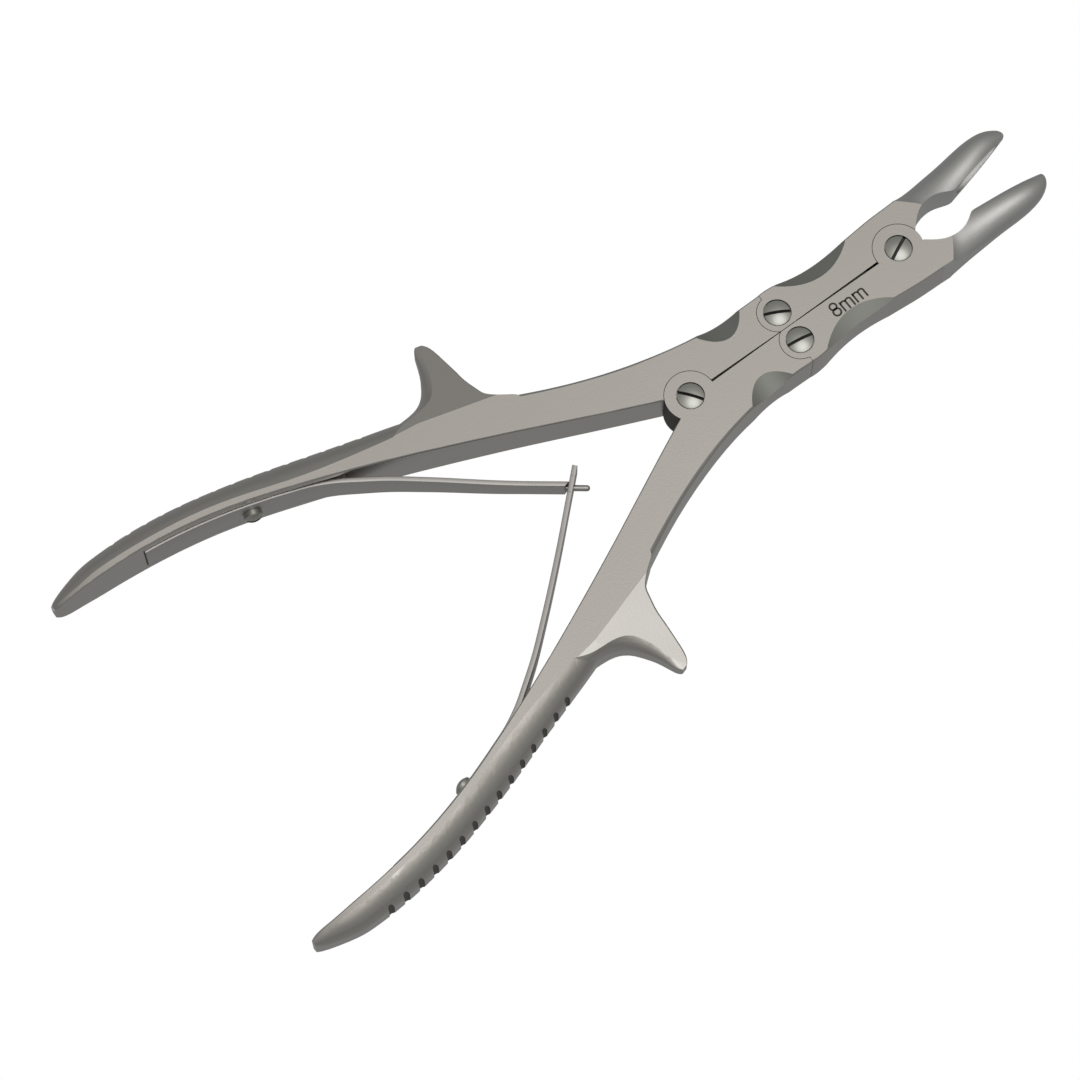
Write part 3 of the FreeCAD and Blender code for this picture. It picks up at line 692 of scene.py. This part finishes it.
def mark_strokes():
    """The strokes of the size number as 2-D paths: an 8 of two rings, and two letters m of a stem and two
    hoops. A ring's or hoop's line runs half a stroke inside its height."""
    inset = MARK_STROKE / 2
    low = MARK_HEIGHT * LOWER_RING[1] - inset / 2
    high = MARK_HEIGHT * UPPER_RING[1] - inset / 2
    strokes = [arc((DIGIT_MIDDLE, inset + low), (LOWER_RING[0], low), 0, 360, RING_STEPS),
               arc((DIGIT_MIDDLE, MARK_HEIGHT - inset - high), (UPPER_RING[0], high), 0, 360, RING_STEPS)]
    top = MARK_HEIGHT * LETTER_SHARE
    radius = HOOP_WIDTH / 2
    for stem in LETTER_STEMS:
        strokes.append(np.array([(stem, 0), (stem, top)]))
        for left in (stem, stem + HOOP_WIDTH):
            hoop = arc((left + radius, top - radius), (radius, radius - inset), 180, 0, HOOP_STEPS)
            strokes.append(np.concatenate([hoop, [(left + HOOP_WIDTH, 0)]]))
    return strokes


class RONGEUR_OT_mark(bpy.types.Operator):
    """Size number on the lower jaw"""
    bl_idname = "rongeur.mark"
    bl_label = "Size number"

    def execute(self, context):
        height = FLAT_HEIGHT - MARK_DEPTH * MARK_SUNK
        section = rounded_rectangle(MARK_STROKE, MARK_DEPTH, MARK_DEPTH * MARK_EDGE, 1)
        parts = []
        for stroke in mark_strokes():
            points = stroke + MARK_CORNER
            parts.append(swept(np.column_stack([points, np.full(len(points), height)]), section))
        piece = new_piece("size_number", *joined(parts), dark_mark(), "steel")
        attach(piece, BODY_OF["lower_jaw"])
        return {"FINISHED"}


# Stage

# The light tent: the way to its brightest part, and its colours from the far side, at 0, to there, at 1
TENT_TOP = (0.13, -0.13, 0.98)
TENT_STOPS = ((0.0, (0.18, 0.18, 0.18)), (0.35, (0.165, 0.167, 0.165)), (0.55, (0.15, 0.152, 0.15)),
              (0.74, (0.19, 0.19, 0.184)), (0.86, (0.235, 0.232, 0.226)), (0.93, (0.34, 0.331, 0.315)),
              (0.962, (0.47, 0.454, 0.432)), (0.985, (0.85, 0.84, 0.83)), (1.0, (1.0, 1.0, 1.0)))
SENSOR_WIDTH = 36
CLIP_START = 0.01
CLIP_END = 10


def tent_world(strength):
    """White to the camera. To everything else a light tent, whose brightness depends on the cosine of the
    angle to its brightest part. That part stands over the instrument, and the tent falls to grey walls
    and a grey table."""
    world = bpy.data.worlds.new("light_tent")
    bpy.context.scene.world = world
    world.use_nodes = True
    nodes, links = world.node_tree.nodes, world.node_tree.links
    nodes.clear()
    output = nodes.new("ShaderNodeOutputWorld")
    mixed = nodes.new("ShaderNodeMixShader")
    path = nodes.new("ShaderNodeLightPath")
    plain = nodes.new("ShaderNodeBackground")
    plain.inputs["Color"].default_value = (1, 1, 1, 1)
    tent = nodes.new("ShaderNodeBackground")
    place = nodes.new("ShaderNodeTexCoord")
    cosine = nodes.new("ShaderNodeVectorMath")
    cosine.operation = "DOT_PRODUCT"
    cosine.inputs[1].default_value = Vector(TENT_TOP).normalized()
    links.new(place.outputs["Generated"], cosine.inputs[0])
    to_unit = nodes.new("ShaderNodeMapRange")
    to_unit.inputs["From Min"].default_value = -1
    to_unit.inputs["From Max"].default_value = 1
    links.new(cosine.outputs["Value"], to_unit.inputs["Value"])
    ramp = nodes.new("ShaderNodeValToRGB")
    ramp.color_ramp.interpolation = "EASE"
    elements = ramp.color_ramp.elements
    for element, (position, colour) in ((elements[0], TENT_STOPS[0]), (elements[1], TENT_STOPS[-1])):
        element.position, element.color = position, (*colour, 1)
    for position, colour in TENT_STOPS[1:-1]:
        elements.new(position).color = (*colour, 1)
    links.new(to_unit.outputs["Result"], ramp.inputs["Fac"])
    links.new(ramp.outputs["Color"], tent.inputs["Color"])
    tent.inputs["Strength"].default_value = strength
    links.new(path.outputs["Is Camera Ray"], mixed.inputs["Fac"])
    links.new(tent.outputs["Background"], mixed.inputs[1])
    links.new(plain.outputs["Background"], mixed.inputs[2])
    links.new(mixed.outputs["Shader"], output.inputs["Surface"])


class RONGEUR_OT_stage(bpy.types.Operator):
    """Camera, light tent and white background"""
    bl_idname = "rongeur.stage"
    bl_label = "Stage"

    def execute(self, context):
        settings = context.scene.rongeur_stage
        scene = context.scene
        camera = bpy.data.objects.new("camera", bpy.data.cameras.new("camera"))
        scene.collection.objects.link(camera)
        camera.data.lens = settings.lens
        camera.data.sensor_width = SENSOR_WIDTH
        camera.data.clip_start = CLIP_START
        camera.data.clip_end = CLIP_END
        azimuth, elevation = settings.azimuth, settings.elevation
        back = Vector((math.sin(azimuth) * math.cos(elevation), -math.cos(azimuth) * math.cos(elevation),
                       math.sin(elevation)))
        camera.location = Vector(REAR_PIVOT) + Vector(settings.target) + back * settings.distance
        camera.rotation_mode = "QUATERNION"
        camera.rotation_quaternion = (-back).to_track_quat("-Z", "Y")
        scene.camera = camera
        scene.view_settings.view_transform = "Standard"
        tent_world(settings.brightness)
        return {"FINISHED"}


class RONGEUR_PT_panel(bpy.types.Panel):
    """Lists the instrument's pieces and settings"""
    bl_label = "Bone Rongeur"
    bl_space_type = "VIEW_3D"
    bl_region_type = "UI"
    bl_category = "Rongeur"

    def draw(self, context):
        scene = context.scene
        for operator in OPERATORS:
            self.layout.operator(operator.bl_idname)
        for settings in (scene.rongeur_finish, scene.rongeur_springs, scene.rongeur_stage):
            for name in settings.__annotations__:
                self.layout.prop(settings, name)


OPERATORS = (RONGEUR_OT_levers, RONGEUR_OT_screws, RONGEUR_OT_springs, RONGEUR_OT_mark, RONGEUR_OT_stage)
CLASSES = (RongeurFinish, RongeurSprings, RongeurStage, *OPERATORS, RONGEUR_PT_panel)


def register():
    for cls in CLASSES:
        bpy.utils.register_class(cls)
    bpy.types.Scene.rongeur_finish = bpy.props.PointerProperty(type=RongeurFinish)
    bpy.types.Scene.rongeur_springs = bpy.props.PointerProperty(type=RongeurSprings)
    bpy.types.Scene.rongeur_stage = bpy.props.PointerProperty(type=RongeurStage)


def unregister():
    del bpy.types.Scene.rongeur_stage
    del bpy.types.Scene.rongeur_springs
    del bpy.types.Scene.rongeur_finish
    for cls in reversed(CLASSES):
        bpy.utils.unregister_class(cls)


def main():
    """Registers the classes and builds the pieces and the stage."""
    register()
    bpy.ops.rongeur.levers()
    bpy.ops.rongeur.screws()
    bpy.ops.rongeur.springs()
    bpy.ops.rongeur.mark()
    bpy.ops.rongeur.stage()


if __name__ == "__main__":
    main()
